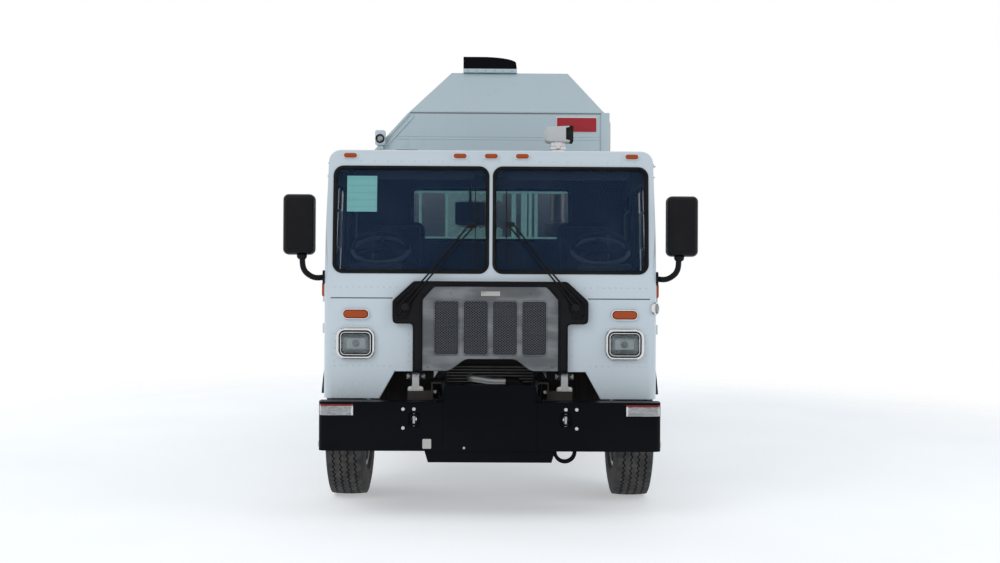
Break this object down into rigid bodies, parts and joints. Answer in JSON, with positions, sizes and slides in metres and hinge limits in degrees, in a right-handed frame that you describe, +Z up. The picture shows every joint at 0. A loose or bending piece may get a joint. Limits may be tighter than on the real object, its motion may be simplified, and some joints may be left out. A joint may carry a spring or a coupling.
{
  "type": "side-loading garbage truck",
  "caption": "Cab-over garbage truck with a tilting cab, kerb-side lifting arm, open hopper with packer, hollow body and a lifting tailgate.",
  "frame": {"origin": "on the ground, at the middle of the truck's length and width", "axes": "+Z up; the truck faces -Y; +X is its left, street side and -X its kerb side"},
  "size_m": [3.038, 9.7, 4.0904],
  "materials": {
    "white_paint": "gloss paint, lightly soiled",
    "grey_paint": "worn grey paint",
    "black_paint": "satin black",
    "arm_paint": "gloss paint, scuffed",
    "black_plastic": "grained",
    "bright_metal": "brushed",
    "tank_metal": "mill finish",
    "lamp_chrome": "bright",
    "amber_lens": "clear amber",
    "red_lens": "clear red",
    "tinted_glass": "clear, tinted",
    "seat_fabric": "woven",
    "cylinder_paint": "satin black",
    "rod_chrome": "hard chrome",
    "rim_paint": "white paint, dusty",
    "tyre": "worn rubber"
  },
  "bodies": {
    "chassis": {"frame_rails": "black_paint", "cab_hinge_brackets": "bright_metal", "front_bumper": "black_paint", "entry_steps": "black_paint", "front_axle": "black_paint", "rear_axles": "black_paint", "powertrain": "black_paint", "radiator": "black_paint", "coolant_pipe": "bright_metal", "exhaust_stack": "bright_metal", "side_tanks": "tank_metal", "rear_fenders": "black_paint", "rear_bumper": "black_paint", "tail_lamps": "red_lens", "hopper": "white_paint", "body_shell": "white_paint", "body_sills": "black_paint", "roof_cowl": "black_plastic", "arm_rails": "black_paint"},
    "cab": {"cab_shell": "white_paint", "cab_floor": "grey_paint", "cab_glass": "tinted_glass", "grille_surround": "black_plastic", "grille": "bright_metal", "front_lamps": "lamp_chrome", "amber_lamps": "amber_lens", "mirrors": "black_plastic", "wipers": "black_plastic", "seats": "seat_fabric", "dashboard": "black_plastic"},
    "door_left": {"door_left": "white_paint", "door_glass_left": "tinted_glass"},
    "knuckle_left": {"knuckle_left": "black_paint"},
    "wheel_front_left": {"front_rim_left": "rim_paint", "front_tyre_left": "tyre"},
    "wheel_rear_left_1": {"rear_rims_left_1": "rim_paint", "rear_tyres_left_1": "tyre"},
    "wheel_rear_left_2": {"rear_rims_left_2": "rim_paint", "rear_tyres_left_2": "tyre"},
    "door_right": {"door_right": "white_paint", "door_glass_right": "tinted_glass"},
    "knuckle_right": {"knuckle_right": "black_paint"},
    "wheel_front_right": {"front_rim_right": "rim_paint", "front_tyre_right": "tyre"},
    "wheel_rear_right_1": {"rear_rims_right_1": "rim_paint", "rear_tyres_right_1": "tyre"},
    "wheel_rear_right_2": {"rear_rims_right_2": "rim_paint", "rear_tyres_right_2": "tyre"},
    "packer": {"packer_panel": "grey_paint"},
    "tailgate": {"tailgate": "white_paint"},
    "barrels": {"tailgate_barrels": "cylinder_paint"},
    "rods": {"tailgate_rods": "rod_chrome"},
    "arm_slide": {"arm_carriage": "black_paint"},
    "arm": {"arm_boom": "arm_paint"},
    "finger_front": {"finger_front": "arm_paint"},
    "finger_rear": {"finger_rear": "arm_paint"}
  },
  "joints": [
    {"name": "cab_tilt", "type": "hinge", "parent": "chassis", "child": "cab", "pos_m": [0, -4.55, 1.02], "axis": [1, 0, 0], "range_deg": [0, 45]},
    {"name": "door_left_hinge", "type": "hinge", "parent": "cab", "child": "door_left", "pos_m": [1.236, -4.43, 1.89], "axis": [0, 0, -1], "range_deg": [0, 70]},
    {"name": "steer_left", "type": "hinge", "parent": "chassis", "child": "knuckle_left", "pos_m": [0.93, -3.6, 0.538], "axis": [0, 0, 1], "range_deg": [-35, 35]},
    {"name": "spin_front_left", "type": "hinge", "parent": "knuckle_left", "child": "wheel_front_left", "pos_m": [1.125, -3.6, 0.538], "axis": [1, 0, 0], "continuous": true},
    {"name": "spin_rear_left_1", "type": "hinge", "parent": "chassis", "child": "wheel_rear_left_1", "pos_m": [0.895, 1.49, 0.538], "axis": [1, 0, 0], "continuous": true},
    {"name": "spin_rear_left_2", "type": "hinge", "parent": "chassis", "child": "wheel_rear_left_2", "pos_m": [0.895, 2.81, 0.538], "axis": [1, 0, 0], "continuous": true},
    {"name": "door_right_hinge", "type": "hinge", "parent": "cab", "child": "door_right", "pos_m": [-1.236, -4.43, 1.89], "axis": [0, 0, 1], "range_deg": [0, 70]},
    {"name": "steer_right", "type": "hinge", "parent": "chassis", "child": "knuckle_right", "pos_m": [-0.93, -3.6, 0.538], "axis": [0, 0, 1], "range_deg": [-35, 35]},
    {"name": "spin_front_right", "type": "hinge", "parent": "knuckle_right", "child": "wheel_front_right", "pos_m": [-1.125, -3.6, 0.538], "axis": [1, 0, 0], "continuous": true},
    {"name": "spin_rear_right_1", "type": "hinge", "parent": "chassis", "child": "wheel_rear_right_1", "pos_m": [-0.895, 1.49, 0.538], "axis": [1, 0, 0], "continuous": true},
    {"name": "spin_rear_right_2", "type": "hinge", "parent": "chassis", "child": "wheel_rear_right_2", "pos_m": [-0.895, 2.81, 0.538], "axis": [1, 0, 0], "continuous": true},
    {"name": "packer_slide", "type": "slide", "parent": "chassis", "child": "packer", "axis": [0, 1, 0], "range_m": [0, 1.1]},
    {"name": "tailgate_hinge", "type": "hinge", "parent": "chassis", "child": "tailgate", "pos_m": [0, 4.23, 3.985], "axis": [1, 0, 0], "range_deg": [0, 75]},
    {"name": "barrel_swing", "type": "hinge", "parent": "chassis", "child": "barrels", "pos_m": [0, 3.25, 2.75], "axis": [1, 0, 0], "range_deg": [0, 24.62]},
    {"name": "rod_stroke", "type": "slide", "parent": "barrels", "child": "rods", "axis": [0, 0.9892, 0.1465], "range_m": [0, 1.1004]},
    {"name": "arm_reach", "type": "slide", "parent": "chassis", "child": "arm_slide", "axis": [-1, 0, 0], "range_m": [0, 1.2]},
    {"name": "arm_lift", "type": "hinge", "parent": "arm_slide", "child": "arm", "pos_m": [-1.06, -1.9, 1.75], "axis": [0, 1, 0], "range_deg": [0, 175]},
    {"name": "finger_front_close", "type": "hinge", "parent": "arm", "child": "finger_front", "pos_m": [-1.155, -2.09, 0.64], "axis": [0, 0, -1], "range_deg": [0, 75]},
    {"name": "finger_rear_close", "type": "hinge", "parent": "arm", "child": "finger_rear", "pos_m": [-1.155, -1.71, 0.64], "axis": [0, 0, 1], "range_deg": [0, 75]}
  ],
  "couplings": [
    {"joint": "steer_right", "follows": "steer_left", "ratio": 1},
    {"joint": "barrel_swing", "follows": "tailgate_hinge", "ratio": 0.32157},
    {"joint": "rod_stroke", "follows": "tailgate_hinge", "m_per_rad": 0.83834},
    {"joint": "finger_rear_close", "follows": "finger_front_close", "ratio": 1}
  ]
}
